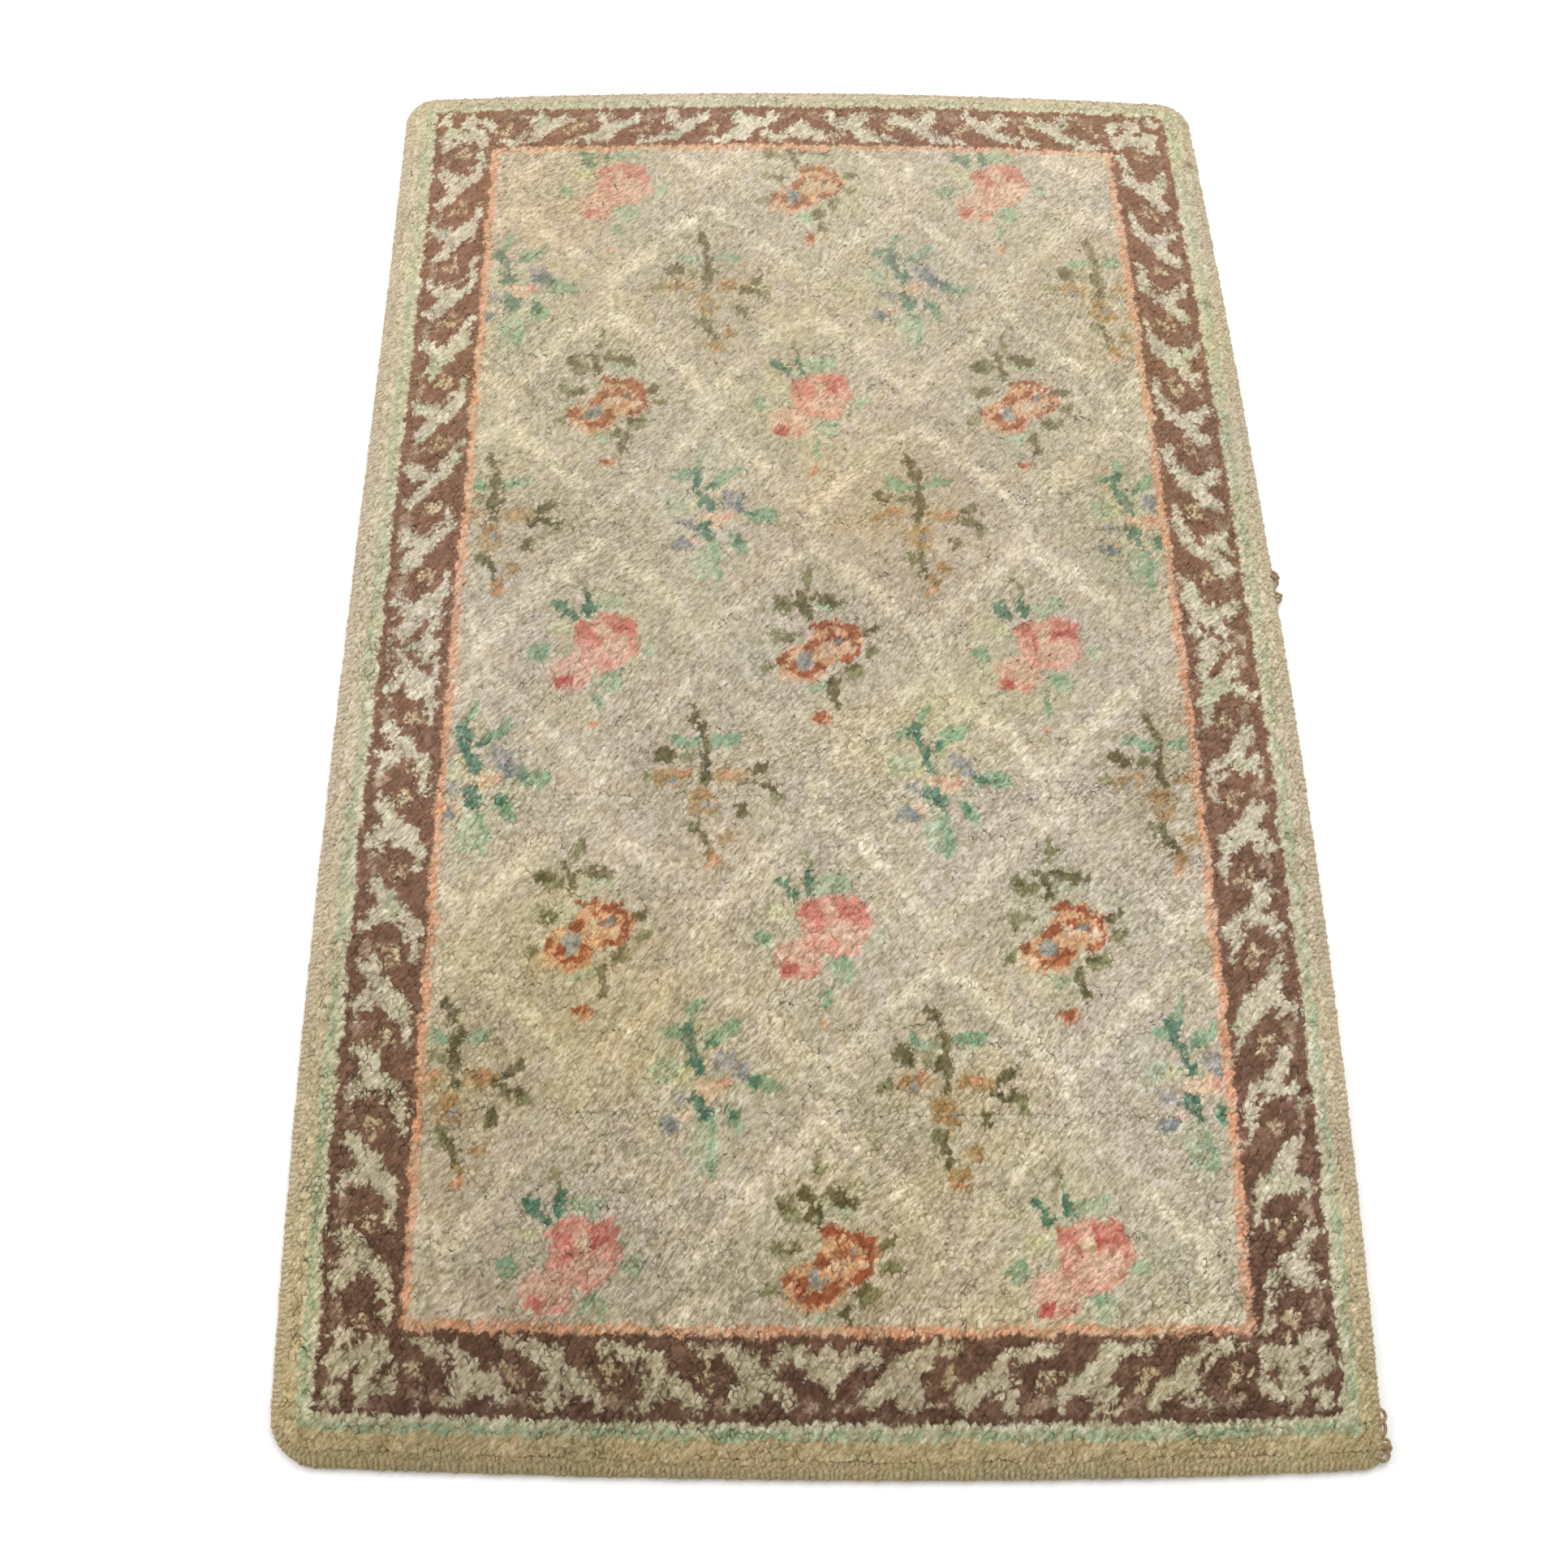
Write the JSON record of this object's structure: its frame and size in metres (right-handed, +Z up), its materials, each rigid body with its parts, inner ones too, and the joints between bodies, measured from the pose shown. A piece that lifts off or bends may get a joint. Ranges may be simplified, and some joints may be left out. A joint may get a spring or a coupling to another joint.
{
  "type": "floral pile rug",
  "caption": "Flat rectangular knotted-pile rug with rounded corners, a rolled pile rim, a leaf scroll border and flower sprays in a trellis field, to lie on a floor.",
  "frame": {"origin": "middle of the underside's bounding box, on the floor", "axes": "+X across the rug, +Y along its length towards the far end, +Z up out of the pile"},
  "size_m": [0.9302, 1.5266, 0.0164],
  "materials": {
    "wool_pile": "worn cut wool pile"
  },
  "bodies": {
    "root": {"rug": "wool_pile"}
  },
  "joints": []
}
